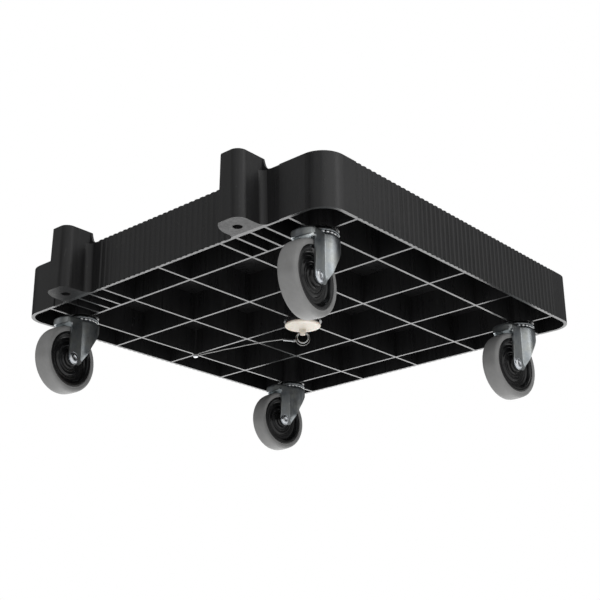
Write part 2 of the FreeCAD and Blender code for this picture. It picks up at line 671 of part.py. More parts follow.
PIECES = caster_pieces()
for tag, (x, y, heading) in CASTERS.items():
    for name, piece in PIECES.items():
        # the headed end lies along local +Y, which is at 90 degrees
        placed = turn_and_move(piece.copy(), heading - 90.0, Vector(x, y, RIM_Z))
        save("caster_%s_%s" % (tag, name), placed)

save("stopper_cap", stopper_cap())
save("stopper_seal", lathe(SEAL_PROFILE, Vector(0, 0, SEAL_Z)))
save("stopper_ring", hung_ring(RING_R, RING_WIRE, -RING_GAP, RING_Z))
save("stopper_link", hung_ring(LINK_R, LINK_WIRE, RING_GAP, LINK_Z))
save("lanyard_ferrule", ferrule())
save("lanyard_cord", cord())
save("lanyard_screw", anchor_screw())
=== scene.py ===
# A square plastic deck frame on four swivel casters, with a round stopper hanging under its
# middle on two rings and a laid cord. The floor is z = 0, the front is +X and the left is +Y.
# Lengths are millimetres unless a name or comment says metres; meshes are stored in metres.
import bpy, bmesh, json, math
import numpy as np
from mathutils import Matrix, Vector


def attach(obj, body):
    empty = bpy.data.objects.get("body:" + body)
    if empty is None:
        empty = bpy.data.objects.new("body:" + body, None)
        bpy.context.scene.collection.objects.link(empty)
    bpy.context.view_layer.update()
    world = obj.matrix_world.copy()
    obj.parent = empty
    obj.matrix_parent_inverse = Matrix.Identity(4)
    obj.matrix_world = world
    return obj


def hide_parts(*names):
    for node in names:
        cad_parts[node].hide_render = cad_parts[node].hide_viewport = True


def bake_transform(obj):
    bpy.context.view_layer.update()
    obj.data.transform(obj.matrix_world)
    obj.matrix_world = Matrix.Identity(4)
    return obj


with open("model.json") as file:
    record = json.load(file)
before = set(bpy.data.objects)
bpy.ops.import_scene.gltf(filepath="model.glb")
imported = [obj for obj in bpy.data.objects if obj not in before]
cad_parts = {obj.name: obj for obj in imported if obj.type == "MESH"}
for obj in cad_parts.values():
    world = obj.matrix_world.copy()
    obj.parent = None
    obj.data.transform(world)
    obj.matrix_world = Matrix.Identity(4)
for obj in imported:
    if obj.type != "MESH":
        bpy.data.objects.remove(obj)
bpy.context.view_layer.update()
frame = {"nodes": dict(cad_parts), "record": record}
scene = bpy.context.scene
MM = 0.001
TURN = 2 * math.pi
UP = Vector((0, 0, 1))

# ------------------------------------------------------------------ placement
FRAME_X = 19.4                 # centre of the deck frame; its y is 0
RIM_Z = 110.0                  # bottom rim of the frame above the floor
TRAIL = 28.0                   # axle behind the steering axis
WHEEL_R = 44.45
AXLE_Z = WHEEL_R - RIM_Z       # axle below the rim
CASTER_PITCH = 210.0           # steering axis from the frame centre, in x and y
# node tag: (name, x side, y side, direction of the trail in degrees from +X)
CASTERS = {
    "rr": ("rear_right", -1, -1, -171.13),
    "rl": ("rear_left", -1, 1, -171.54),
    "fl": ("front_left", 1, 1, -184.34),
    "fr": ("front_right", 1, -1, -185.41),
}


# --------------------------------------------------------------- shader nodes
def rgba(colour):
    """Grey level or RGB triple as an opaque RGBA colour."""
    if isinstance(colour, (int, float)):
        return (colour, colour, colour, 1)
    return tuple(colour) + (1,)


class Nodes:
    """Short calls that add and link shader nodes in one node tree."""

    def __init__(self, tree):
        self.tree = tree
        tree.nodes.clear()

    def link(self, source, target):
        self.tree.links.new(source, target)

    def feed(self, node, inputs):
        """Links or sets each input; None leaves the input alone."""
        for key, value in inputs.items():
            socket = node.inputs[key]
            if value is None:
                continue
            if isinstance(value, bpy.types.NodeSocket):
                self.link(value, socket)
            elif socket.type == "RGBA":
                socket.default_value = rgba(value)
            else:
                socket.default_value = value

    def node(self, kind, inputs=None, **settings):
        made = self.tree.nodes.new(kind)
        for name, value in settings.items():
            setattr(made, name, value)
        self.feed(made, inputs or {})
        return made

    def math(self, operation, a, b=None, clamp=False):
        made = self.node("ShaderNodeMath", {0: a, 1: b}, operation=operation, use_clamp=clamp)
        return made.outputs[0]

    def times(self, a, b):
        return self.math("MULTIPLY", a, b)

    def vary(self, source, gain, base):
        """source * gain + base"""
        return self.math("ADD", self.times(source, gain), base)

    def more(self, value, source, gain, clamp=False):
        """value + source * gain"""
        return self.math("ADD", value, self.times(source, gain), clamp=clamp)

    def ramp(self, factor, *stops):
        """Linear colour ramp through (position, grey or colour) stops."""
        made = self.node("ShaderNodeValToRGB")
        elements = made.color_ramp.elements
        while len(elements) > 1:
            elements.remove(elements[-1])
        for i, (position, colour) in enumerate(stops):
            element = elements[0] if i == 0 else elements.new(position)
            element.position = position
            element.color = rgba(colour)
        self.link(factor, made.inputs["Fac"])
        return made.outputs["Color"]


class Material(Nodes):
    """A Principled material textured in object coordinates (metres)."""

    def __init__(self, name):
        self.material = bpy.data.materials.new(name)
        self.material.use_nodes = True
        super().__init__(self.material.node_tree)
        self.output = self.node("ShaderNodeOutputMaterial")
        self.principled = self.node("ShaderNodeBsdfPrincipled")
        self.link(self.principled.outputs[0], self.output.inputs["Surface"])
        self.coord = self.node("ShaderNodeTexCoord").outputs["Object"]

    def mapped(self, scale, location=(0, 0, 0), rotation=(0, 0, 0)):
        """Object coordinates scaled to cells per metre, alike on each axis or (x, y, z)."""
        if not isinstance(scale, tuple):
            scale = (scale, scale, scale)
        return self.node("ShaderNodeMapping", {
            "Vector": self.coord, "Scale": scale, "Location": location, "Rotation": rotation,
        }).outputs["Vector"]

    def noise(self, scale, detail=3.0, rough=0.5, distortion=0.0, **mapping):
        return self.node("ShaderNodeTexNoise", {
            "Vector": self.mapped(scale, **mapping), "Scale": 1.0, "Detail": detail,
            "Roughness": rough, "Distortion": distortion,
        }).outputs["Fac"]

    def mix(self, mask, under, over, amount=None):
        """Lays one colour over another through a mask, which amount scales."""
        factor = mask if amount is None else self.times(mask, amount)
        made = self.node("ShaderNodeMix", {0: factor, 6: under, 7: over},
                         data_type="RGBA", blend_type="MIX")
        return made.outputs[2]

    def bump(self, height, strength, distance, normal=None):
        return self.node("ShaderNodeBump", {
            "Strength": strength, "Distance": distance, "Height": height, "Normal": normal,
        }).outputs["Normal"]

    def finish(self, inputs):
        self.feed(self.principled, inputs)
        return self.material


# ------------------------------------------------------------------ materials
BOSS_X_M = -0.2485             # the frame bosses lie beyond this x, metres
SOLE_NORMAL_Z = -0.6           # faces that look further down than this are undersides


def frame_plastic():
    """Black moulded plastic: satin, streaked up the walls, pitted and lightly scuffed."""
    mat = Material("frame_plastic")
    position = mat.node("ShaderNodeSeparateXYZ", {0: mat.coord})
    cloud = mat.noise(7, detail=4.0, rough=0.55)
    mottle = mat.noise(46, detail=4.0, rough=0.6)
    fine = mat.noise(900, rough=0.6)
    grit = mat.noise((520, 520, 420), detail=4.0, rough=0.75)
    streak = mat.noise((240, 240, 9), detail=4.0, rough=0.66)
    hairline = mat.noise((620, 620, 26), rough=0.7, rotation=(0.05, 0.04, 0))
    colour = mat.ramp(cloud, (0.25, (0.0080, 0.0080, 0.0084)), (0.75, (0.0125, 0.0125, 0.0130)))
    colour = mat.mix(mat.ramp(streak, (0.42, 0.0), (0.78, 0.40)), under=colour,
                     over=(0.024, 0.024, 0.025))
    # sparse pale scuffs, thicker on the bosses
    scuff = mat.noise((300, 300, 90), detail=5.0, rough=0.75, distortion=0.4)
    patch = mat.noise(31, detail=2.0, location=(3.1, 1.7, 0.4))
    boss = mat.math("LESS_THAN", position.outputs[0], BOSS_X_M)
    patch = mat.more(mat.ramp(patch, (0.54, 0.0), (0.70, 1.0)), boss, gain=0.55, clamp=True)
    scuff = mat.times(mat.ramp(scuff, (0.62, 0.0), (0.72, 1.0)), patch)
    colour = mat.mix(scuff, under=colour, over=0.16, amount=0.5)
    # hairline scratches up and down the walls
    scratch = mat.ramp(hairline, (0.66, 0.0), (0.74, 1.0))
    colour = mat.mix(scratch, under=colour, over=0.09, amount=0.22)
    rough = mat.vary(mottle, gain=0.14, base=0.24)
    rough = mat.more(rough, mat.math("SUBTRACT", streak, 0.5), gain=0.34)
    rough = mat.more(rough, scuff, gain=0.25)
    rough = mat.more(rough, boss, gain=0.10, clamp=True)
    normal = mat.bump(fine, strength=0.10, distance=0.0003)
    normal = mat.bump(grit, strength=0.22, distance=0.0003, normal=normal)
    normal = mat.bump(streak, strength=0.22, distance=0.0006, normal=normal)
    # the undersides of the bosses are coarser and duller
    facing = mat.node("ShaderNodeNewGeometry").outputs["Normal"]
    facing = mat.node("ShaderNodeSeparateXYZ", {0: facing})
    sole = mat.times(boss, mat.math("LESS_THAN", facing.outputs[2], SOLE_NORMAL_Z))
    dulling = mat.times(sole, mat.more(0.08, grit, gain=0.45))
    return mat.finish({"Base Color": colour, "Roughness": rough, "Normal": normal,
                       "Specular IOR Level": mat.math("SUBTRACT", 0.5, dulling)})


def zinc(name, tone, base_rough):
    """Bright zinc plate: faint spangle, draw lines and a blue to straw tint."""
    mat = Material(name)
    spangle = mat.node("ShaderNodeTexVoronoi", {
        "Vector": mat.mapped(330), "Scale": 1.0, "Randomness": 1.0,
    }, feature="F1").outputs["Color"]
    spangle = mat.node("ShaderNodeSeparateColor", {0: spangle})
    cloud = mat.noise(60, detail=4.0, rough=0.6)
    lines = mat.noise((1400, 1400, 60))
    grain = mat.noise(2400, detail=2.0)
    blue, straw = [tuple(t * f for t, f in zip(tone, factors))
                   for factors in ((0.88, 0.93, 1.00), (1.04, 1.02, 0.94))]
    tint = mat.ramp(cloud, (0.30, blue), (0.52, tone), (0.74, straw))
    colour = mat.mix(spangle.outputs[0], under=tint, over=(0.80, 0.83, 0.85), amount=0.16)
    rough = mat.vary(cloud, gain=0.16, base=base_rough)
    rough = mat.more(rough, spangle.outputs[1], gain=0.06)
    normal = mat.bump(grain, strength=0.10, distance=0.0002)
    normal = mat.bump(lines, strength=0.12, distance=0.0003, normal=normal)
    normal = mat.bump(cloud, strength=0.10, distance=0.0012, normal=normal)
    return mat.finish({"Base Color": colour, "Roughness": rough, "Metallic": 1.0,
                       "Normal": normal})


def polished(name, tone, base_rough):
    """Polished metal with a faint cloud."""
    mat = Material(name)
    cloud = mat.noise(300, rough=0.6)
    grain = mat.noise(2600, detail=2.0)
    colour = mat.ramp(cloud, (0.3, tuple(v * 0.86 for v in tone)), (0.7, tone))
    return mat.finish({"Base Color": colour,
                       "Roughness": mat.vary(cloud, gain=0.12, base=base_rough),
                       "Metallic": 1.0,
                       "Normal": mat.bump(grain, strength=0.05, distance=0.0002)})


def hub_plastic():
    """Black gloss plastic of the wheel centres."""
    mat = Material("hub_plastic")
    cloud = mat.noise(90, detail=4.0, rough=0.6)
    fine = mat.noise(1500, detail=2.0)
    colour = mat.ramp(cloud, (0.3, (0.006, 0.006, 0.0065)), (0.8, (0.013, 0.013, 0.0135)))
    return mat.finish({"Base Color": colour,
                       "Roughness": mat.vary(cloud, gain=0.14, base=0.10),
                       "Normal": mat.bump(fine, strength=0.05, distance=0.0002),
                       "Specular IOR Level": 0.42})


def tyre_rubber():
    """Grey rubber: matt, slightly mottled, with darker specks."""
    mat = Material("tyre_rubber")
    cloud = mat.noise(55, detail=5.0, rough=0.6)
    fine = mat.noise(1300, rough=0.6)
    speck = mat.noise(420, detail=4.0, rough=0.7)
    colour = mat.ramp(cloud, (0.3, (0.214, 0.214, 0.212)), (0.72, (0.272, 0.272, 0.270)))
    colour = mat.mix(mat.ramp(speck, (0.55, 0.0), (0.8, 1.0)), under=colour,
                     over=(0.12, 0.12, 0.118), amount=0.18)
    rough = mat.vary(cloud, gain=0.16, base=0.50)
    normal = mat.bump(speck, strength=0.12, distance=0.0005)
    normal = mat.bump(fine, strength=0.16, distance=0.0003, normal=normal)
    return mat.finish({"Base Color": colour, "Roughness": rough, "Specular IOR Level": 0.42,
                       "Normal": normal})


def cap_plastic():
    """Cream plastic, slightly translucent, with flow marks and a few darker marks."""
    mat = Material("cap_plastic")
    flow = mat.noise(70, detail=4.0, rough=0.6, distortion=0.5)
    fine = mat.noise(1500)
    mark = mat.noise(240, detail=5.0, rough=0.7)
    colour = mat.ramp(flow, (0.3, (0.64, 0.575, 0.485)), (0.7, (0.735, 0.68, 0.60)))
    colour = mat.mix(mat.ramp(mark, (0.6, 0.0), (0.78, 1.0)), under=colour,
                     over=(0.42, 0.37, 0.31), amount=0.25)
    rough = mat.vary(flow, gain=0.2, base=0.34)
    normal = mat.bump(flow, strength=0.08, distance=0.0015)
    normal = mat.bump(fine, strength=0.08, distance=0.0003, normal=normal)
    return mat.finish({"Base Color": colour, "Roughness": rough, "Subsurface Weight": 0.12,
                       "Subsurface Scale": 0.003, "Normal": normal})


def seal_rubber():
    """Matt black rubber."""
    mat = Material("seal_rubber")
    cloud = mat.noise(120, detail=4.0, rough=0.6)
    fine = mat.noise(1400, rough=0.6)
    return mat.finish({"Base Color": mat.ramp(cloud, (0.3, 0.012), (0.75, 0.026)),
                       "Roughness": mat.vary(cloud, gain=0.15, base=0.55),
                       "Normal": mat.bump(fine, strength=0.15, distance=0.0003)})


def cord_fibre():
    """Pale grey fibre; the strands are in the mesh, the fibres in the bump."""
    mat = Material("cord_fibre")
    cloud = mat.noise(500, detail=4.0, rough=0.6)
    fibre = mat.noise(5200, rough=0.6)
    colour = mat.ramp(cloud, (0.3, (0.34, 0.34, 0.335)), (0.75, (0.60, 0.60, 0.59)))
    return mat.finish({"Base Color": colour, "Roughness": 0.75, "Sheen Weight": 0.25,
                       "Normal": mat.bump(fibre, strength=0.35, distance=0.0003)})


MATERIALS = {
    "frame_plastic": frame_plastic(),
    "zinc_steel": zinc("zinc_plate", tone=(0.42, 0.445, 0.45), base_rough=0.22),
    "ball_steel": polished("bearing_steel", tone=(0.78, 0.79, 0.80), base_rough=0.10),
    "axle_steel": zinc("axle_zinc", tone=(0.70, 0.72, 0.74), base_rough=0.16),
    "hub_plastic": hub_plastic(),
    "tyre_rubber": tyre_rubber(),
    "cap_plastic": cap_plastic(),
    "seal_rubber": seal_rubber(),
    "ring_steel": polished("ring_nickel", tone=(0.56, 0.57, 0.58), base_rough=0.12),
    "cord_fibre": cord_fibre(),
    "ring_dull": polished("ring_dull", tone=(0.34, 0.34, 0.34), base_rough=0.22),
}


def dress_cad_nodes():
    """Gives every loaded piece the material of its recorded slot."""
    slots = {part["node"]: part["material_slot"] for part in frame["record"]["subparts"]}
    for node, obj in frame["nodes"].items():
        obj.data.materials.clear()
        obj.data.materials.append(MATERIALS[slots[node]])
        for polygon in obj.data.polygons:
            polygon.material_index = 0


# ------------------------------------------------------------ curve utilities
def monotone_cubic(knots, values, at):
    """Monotone cubic through (knots, values), knots increasing."""
    gap = np.diff(knots)
    rise = np.diff(values) / gap
    slope = np.zeros_like(values)
    for i in range(1, len(knots) - 1):
        if rise[i - 1] * rise[i] > 0:
            before = 2 * gap[i] + gap[i - 1]
            after = gap[i] + 2 * gap[i - 1]
            slope[i] = (before + after) / (before / rise[i - 1] + after / rise[i])
    slope[0], slope[-1] = rise[0], rise[-1]
    k = np.clip(np.searchsorted(knots, at) - 1, 0, len(gap) - 1)
    t = np.clip((at - knots[k]) / gap[k], 0, 1)
    return ((2 * t ** 3 - 3 * t ** 2 + 1) * values[k]
            + (t ** 3 - 2 * t ** 2 + t) * gap[k] * slope[k]
            + (-2 * t ** 3 + 3 * t ** 2) * values[k + 1]
            + (t ** 3 - t ** 2) * gap[k] * slope[k + 1])


def resample(points, count):
    """The same 2-D polyline with evenly spaced points."""
    line = np.array(points, float)
    steps = np.linalg.norm(np.diff(line, axis=0), axis=1)
    length = np.concatenate([[0], np.cumsum(steps)])
    at = np.linspace(0, length[-1], count)
    return np.stack([np.interp(at, length, line[:, i]) for i in (0, 1)], 1)


def smooth_curve(points, count):
    """Cuts the corners twice, then resamples; the ends stay."""
    line = np.array(points, float)
    for _ in range(2):
        cut = [line[0]]
        for a, b in zip(line[:-1], line[1:]):
            cut += [a * 0.75 + b * 0.25, a * 0.25 + b * 0.75]
        cut.append(line[-1])
        line = np.array(cut)
    return resample(line, count)


def round_corners(points, closed, steps):
    """Rounds the corners of a 2-D outline of (x, y, corner radius) points."""
    rounded = []
    count = len(points)
    for i, (x, y, radius) in enumerate(points):
        if radius <= 0 or (not closed and i in (0, count - 1)):
            rounded.append((x, y))
            continue
        corner = np.array((x, y), float)
        back = np.array(points[i - 1][:2], float) - corner
        ahead = np.array(points[(i + 1) % count][:2], float) - corner
        back_length, ahead_length = np.linalg.norm(back), np.linalg.norm(ahead)
        back, ahead = back / back_length, ahead / ahead_length
        half = math.acos(max(-1, min(1, float(back @ ahead)))) / 2
        if half > math.radians(89) or half < math.radians(1):
            rounded.append((x, y))
            continue
        # the cut takes at most 0.48 of either neighbouring side
        cut = min(radius / math.tan(half), 0.48 * back_length, 0.48 * ahead_length)
        arc_r = cut * math.tan(half)
        bisector = (back + ahead) / np.linalg.norm(back + ahead)
        centre = corner + bisector * (arc_r / math.sin(half))
        start, end = corner + back * cut - centre, corner + ahead * cut - centre
        first = math.atan2(start[1], start[0])
        sweep = (math.atan2(end[1], end[0]) - first + math.pi) % TURN - math.pi
        for k in range(steps + 1):
            angle = first + sweep * k / steps
            rounded.append((centre[0] + arc_r * math.cos(angle),
                            centre[1] + arc_r * math.sin(angle)))
    return rounded


def mirrored(half):
    """Completes a (radius, height, corner radius) outline across height 0."""
    return half + [(r, -height, corner) for r, height, corner in reversed(half)]


# ------------------------------------------------------------- mesh utilities
def make_mesh(name, points, faces, sharp=None):
    """Smooth mesh in metres from millimetre points; edges over sharp degrees stay crisp."""
    mesh = bpy.data.meshes.new(name)
    mesh.from_pydata([tuple(c * MM for c in point) for point in points], [], faces)
    mesh.validate()
    bm = bmesh.new()
    bm.from_mesh(mesh)
    bmesh.ops.remove_doubles(bm, verts=bm.verts, dist=1e-7)
    bmesh.ops.recalc_face_normals(bm, faces=bm.faces)
    bm.to_mesh(mesh)
    bm.free()
    mesh.shade_smooth()
    if sharp:
        mesh.set_sharp_from_angle(angle=math.radians(sharp))
    return mesh


def lathe(name, outline, segments, sharp, centre=(0, 0, 0), axis="z", steps=4):
    """Turns an outline of (radius, height, corner radius) about the z or y axis.

    An outline that starts on the axis ends there too; any other closes on itself.
    """
    closed = outline[0][0] > 0
    points, faces, rings = [], [], []
    for r, height in round_corners(outline, closed, steps):
        if r < 1e-6:
            rings.append([len(points)])
            points.append((0, 0, height))
        else:
            rings.append(list(range(len(points), len(points) + segments)))
            points += [(r * math.cos(TURN * k / segments), r * math.sin(TURN * k / segments),
                        height) for k in range(segments)]
    pairs = list(zip(rings, rings[1:]))
    if closed:
        pairs.append((rings[-1], rings[0]))
    for a, b in pairs:
        for k in range(segments):
            j = (k + 1) % segments
            if len(a) == 1:
                faces.append((a[0], b[j], b[k]))
            elif len(b) == 1:
                faces.append((a[k], a[j], b[0]))
            else:
                faces.append((a[k], a[j], b[j], b[k]))
    if axis == "y":
        points = [(x, z, -y) for x, y, z in points]
    points = [(x + centre[0], y + centre[1], z + centre[2]) for x, y, z in points]
    return make_mesh(name, points, faces, sharp)


def tangents_of(path):
    """Unit direction at each point of a list of vectors."""
    last = len(path) - 1
    return [(path[min(i + 1, last)] - path[max(i - 1, 0)]).normalized()
            for i in range(last + 1)]


def tube(name, path, radii, sides, sharp=None):
    """Capped round tube along millimetre points, with a radius for each point."""
    path = [Vector(point) for point in path]
    tangents = tangents_of(path)
    across = UP if abs(tangents[0].z) < 0.9 else Vector((1, 0, 0))
    points, faces = [], []
    for centre, tangent, radius in zip(path, tangents, radii):
        across = (across - tangent * across.dot(tangent)).normalized()
        other = tangent.cross(across)
        for k in range(sides):
            angle = TURN * k / sides
            offset = across * math.cos(angle) + other * math.sin(angle)
            points.append(tuple(centre + offset * radius))
    for i in range(len(path) - 1):
        for k in range(sides):
            a, b = i * sides + k, i * sides + (k + 1) % sides
            faces.append((a, b, b + sides, a + sides))
    for i in (0, len(path) - 1):
        hub = len(points)
        points.append(tuple(path[i]))
        for k in range(sides):
            a, b = i * sides + k, i * sides + (k + 1) % sides
            faces.append((b, a, hub) if i == 0 else (a, b, hub))
    return make_mesh(name, points, faces, sharp)


def join_meshes(name, meshes):
    bm = bmesh.new()
    for mesh in meshes:
        bm.from_mesh(mesh)
    joined = bpy.data.meshes.new(name)
    bm.to_mesh(joined)
    bm.free()
    for mesh in meshes:
        bpy.data.meshes.remove(mesh)
    return joined


def piece(name, mesh, slot, body, replaced=None, placement=None, material=None):
    """Adds an object that rides a body and stands in for a loaded piece."""
    if not mesh.materials:
        mesh.materials.append(material or MATERIALS[slot])
    obj = bpy.data.objects.new(name, mesh)
    scene.collection.objects.link(obj)
    if placement is not None:
        obj.matrix_world = placement
    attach(obj, body)
    if replaced:
        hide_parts(replaced)
    return obj


def add_bevel(obj, width, segments, angle, harden=True):
    """Rounds every edge sharper than the angle in degrees."""
    bevel = obj.modifiers.new("edge_round", "BEVEL")
    bevel.width = width * MM
    bevel.segments = segments
    bevel.limit_method = "ANGLE"
    bevel.angle_limit = math.radians(angle)
    bevel.harden_normals = harden
    bevel.use_clamp_overlap = True
    bevel.miter_outer = "MITER_ARC"


# -------------------------------------------------------------------- casters
# Each caster is built about its steering axis at the rim: +X trails, +Y is across the wheel.
AXLE_CENTRE = (TRAIL, 0, AXLE_Z)

# half section: radius, distance from the wheel's mid-plane, corner radius
HUB_HALF = [
    (6.08, 12.75, 0.3), (9.2, 12.75, 0.5), (9.9, 12.3, 0.4), (10.5, 11.0, 0.6),
    (11.2, 8.6, 0.8), (12.2, 7.35, 0.8), (14.6, 7.05, 0.4), (14.9, 7.35, 0.15),
    (15.7, 7.35, 0.15), (16.0, 7.0, 0.3), (17.5, 7.0, 0.4), (18.2, 7.85, 0.4),
    (20.3, 8.05, 0.4), (21.2, 7.3, 0.5), (22.3, 6.2, 0.6), (24.6, 6.05, 0.3),
    (24.9, 6.35, 0.15), (25.6, 6.35, 0.15), (25.9, 6.0, 0.3), (28.4, 6.15, 0.8),
    (29.7, 7.2, 1.2), (31.3, 9.9, 0.8), (32.2, 11.2, 0.7), (33.4, 11.65, 0.5),
    (35.3, 11.65, 0.4), (36.25, 11.15, 0.35), (36.6, 10.4, 0.3), (36.6, 7.6, 0.0),
    (34.4, 5.0, 0.0),
]
# half section from the bore to the parting line: radius, distance from the mid-plane
TYRE_HALF = [
    (34.42, 5.0), (36.62, 7.6), (36.62, 10.3), (36.55, 10.9), (36.9, 11.55), (37.35, 11.9),
    (37.9, 12.0), (38.3, 11.98), (38.5, 11.86), (38.9, 11.84), (39.1, 11.96), (39.9, 12.0),
    (40.7, 11.93), (41.5, 11.72), (42.3, 11.3), (42.95, 10.75), (43.45, 10.05), (43.8, 9.2),
    (44.03, 8.2), (44.17, 7.0), (44.27, 5.6), (44.35, 4.0), (44.40, 2.2), (44.42, 0.55),
    (44.42, 0.28), (WHEEL_R, 0.14),
]
# threaded end, shank, beaded seat and domed head: radius, y, corner radius
AXLE_OUTLINE = [
    (0, -22.7, 0), (3.2, -22.7, 0.3), (4.0, -21.9, 0.2), (4.0, 15.6, 0.0), (8.25, 15.6, 0.0),
    (8.3, 15.86, 0.1), (7.95, 15.98, 0.1), (7.62, 15.9, 0.08), (7.5, 15.74, 0.05),
    (7.08, 15.74, 0.05), (7.05, 16.1, 0.25), (6.7, 16.95, 0.5), (5.6, 17.65, 0.8),
    (4.1, 18.0, 0.5), (2.8, 17.95, 0.35), (2.25, 17.25, 0.3), (0, 17.02, 0),
]
# flat plate with a turned-down lip: radius, z from the rim, corner radius
RACE_OUTLINE = [
    (4.03, -2.88, 0), (20.7, -2.88, 0.5), (21.4, -3.25, 0.4), (21.55, -3.9, 0.3),
    (21.55, -5.1, 0.15), (21.35, -5.4, 0.14), (20.95, -5.4, 0.14), (20.7, -5.1, 0.15),
    (20.62, -4.55, 0.25), (20.25, -4.15, 0.3), (19.7, -4.0, 0.3), (16.6, -4.0, 0.2),
    (16.3, -3.85, 0.2), (15.2, -3.85, 0.2), (14.9, -4.0, 0.2), (4.03, -4.0, 0),
]
# rivet head, pin, washer step and grooved stem: radius, z from the rim, corner radius
STEM_OUTLINE = [
    (0, -19.85, 0), (3.3, -19.8, 0.8), (5.3, -19.1, 1.0), (6.5, -17.8, 0.5),
    (6.5, -17.12, 0.1), (4.0, -17.12, 0), (4.0, -2.88, 0), (13.1, -2.88, 0.25),
    (13.45, -2.5, 0.2), (13.45, -0.4, 0.2), (13.1, -0.02, 0.2), (5.55, -0.02, 0.1),
    (5.55, 23.0, 0.1), (4.7, 23.6, 0.3), (4.7, 26.4, 0.3), (5.55, 27.0, 0.1),
    (5.55, 33.8, 0.3), (4.4, 35.5, 0.3), (3.2, 36.0, 0.2), (0, 36.0, 0),
]

# Fork plan: a crown arc on the -X side, a concave crease, a flat leg, a corner and a tail arc.
CROWN_R = 22.6
LEG_Y = 15.7
CREASE_R = 3.0
CREASE_CENTRE = (17.482, LEG_Y + CREASE_R)
CREASE_START = (15.433, 16.509)          # where the crown meets the crease
CREASE_X = CREASE_CENTRE[0]              # where the crease meets the leg
LEG_END_X = 33.9
CORNER_R = 6.5
CORNER_CENTRE = (34.624, LEG_Y - CORNER_R)
TAIL_R, TAIL_X = 30.0, 13.0
# centre x, centre y, radius, what an inset does to the radius
FORK_ARCS = {
    "crown": (0.0, 0.0, CROWN_R, -1),
    "crease": (*CREASE_CENTRE, CREASE_R, 1),
    "corner": (*CORNER_CENTRE, CORNER_R, -1),
    "tail": (TAIL_X, 0.0, TAIL_R, -1),
}
# Fork heights from the rim, and the roundings
FORK_TOP_Z = -8.8
SKIRT_Z = -20.6                          # where the legs start below the skirt
SHOULDER_R = 2.6
SHOULDER_Z = FORK_TOP_Z - SHOULDER_R
STEM_HOLE_R = 4.7
TOP_FRACTIONS = (0.0, 0.25, 0.5, 0.78)   # rows from the stem hole to the shoulder
SHOULDER_STEPS = 6
SKIRT_FRACTIONS = (0.12, 0.26, 0.42, 0.6, 0.8, 1.0)
LEG_ROWS = 44
FLATTEN_Z, FLATTEN_DEPTH = -56.0, 13.0   # below this the crown edge eases onto the leg plane
LUG_CENTRE, LUG_RADII = (28.2, -65.4), (8.6, 7.7)
SHEET = 2.3
# lower edge on the -X side, from the crown down to the lug: x, z
FRONT_EDGE = [
    (-26, -17.6), (-20.6, -18.8), (-17.6, -19.9), (-14.6, -21.6), (-11.6, -24.3),
    (-5.6, -32.5), (1.0, -42.0), (4.8, -49.2), (7.8, -55.6), (11.4, -63.2), (13.4, -67.6),
    (15.2, -70.9), (16.9, -72.2), (18.6, -72.9), (21.0, -73.1), (28.2, -73.1),
]
# lower edge of the corner and tail: x, z
TAIL_EDGE = [(LEG_END_X, SKIRT_Z), (34.3, -18.6), (35.6, -17.2), (37.6, -17.0),
             (40.5, -18.2), (43.0, -19.4)]
# +X edge of the leg, from the skirt down to the lug: x, z
LEG_EDGE = [(LEG_END_X, SKIRT_Z), (34.3, -26.0), (36.2, -56.0), (36.65, -62.0)]


def fork_plan(column, inset=0.0):
    """Plan (x, y) of a fork column, moved inward by the inset."""
    shape, at = column
    if shape == "leg":
        return at, LEG_Y - inset
    x, y, radius, sense = FORK_ARCS[shape]
    radius += sense * inset
    return x + radius * math.cos(at), y + radius * math.sin(at)


def lug_points(degrees):
    return [(LUG_CENTRE[0] + LUG_RADII[0] * math.cos(math.radians(a)),
             LUG_CENTRE[1] + LUG_RADII[1] * math.sin(math.radians(a))) for a in degrees]


def leg_grid(leg_x, front_edge, crease_end_z):
    """Coons patch of (x, z) rows over a flat leg, from the skirt down to the lug."""
    columns = len(leg_x)
    foot = [(CREASE_X, crease_end_z)]
    foot += [tuple(p) for p in front_edge if p[0] > CREASE_X + 0.3]
    bottom = resample(foot + lug_points(range(-85, -44, 5)), columns + 1)
    right = resample(LEG_EDGE + lug_points(range(0, -46, -5)), LEG_ROWS + 1)
    top = np.array([(CREASE_X, SKIRT_Z)] + [(x, SKIRT_Z) for x in leg_x])
    left = np.array([(CREASE_X, SKIRT_Z + (crease_end_z - SKIRT_Z) * k / LEG_ROWS)
                     for k in range(LEG_ROWS + 1)])

    def at(r, k):
        v, u = r / LEG_ROWS, k / columns
        corners = ((1 - u) * (1 - v) * top[0] + u * (1 - v) * top[-1]
                   + (1 - u) * v * bottom[0] + u * v * bottom[-1])
        return ((1 - v) * top[k] + v * bottom[k] + (1 - u) * left[r] + u * right[r]
                - corners)

    return [[at(r, k) for k in range(columns + 1)] for r in range(LEG_ROWS + 1)]


def leg_surface_y(x):
    """The leg is flat up to the corner, then follows it round."""
    past = x - CORNER_CENTRE[0]
    return LEG_Y if past <= 0 else CORNER_CENTRE[1] + math.sqrt(CORNER_R ** 2 - past * past)


